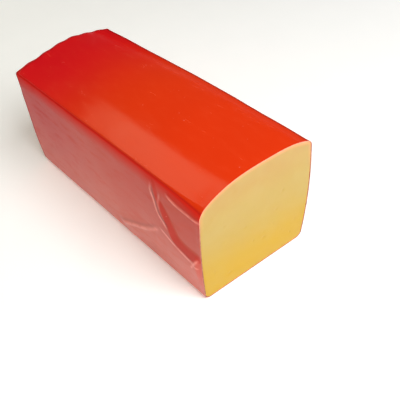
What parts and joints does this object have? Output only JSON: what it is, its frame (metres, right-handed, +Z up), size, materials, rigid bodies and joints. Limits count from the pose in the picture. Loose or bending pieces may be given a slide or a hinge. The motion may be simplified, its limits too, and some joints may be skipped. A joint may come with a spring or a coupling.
{
  "type": "cheese block",
  "caption": "Loaf-shaped block of semi-hard cheese in a glossy red film, cut across at one end so that the smooth yellow cut face shows.",
  "frame": {"origin": "on the resting face, under the middle of the block's box", "axes": "+X along the block towards the cut face, +Y across it towards the side with the higher half of the top, +Z up"},
  "size_m": [0.2514, 0.1088, 0.112],
  "materials": {
    "cheese_paste": "smooth, slightly moist cut face",
    "red_film": "glossy orange-red film drawn tight over the block"
  },
  "bodies": {
    "root": {"cheese_body": "cheese_paste", "red_film": "red_film"}
  },
  "joints": []
}
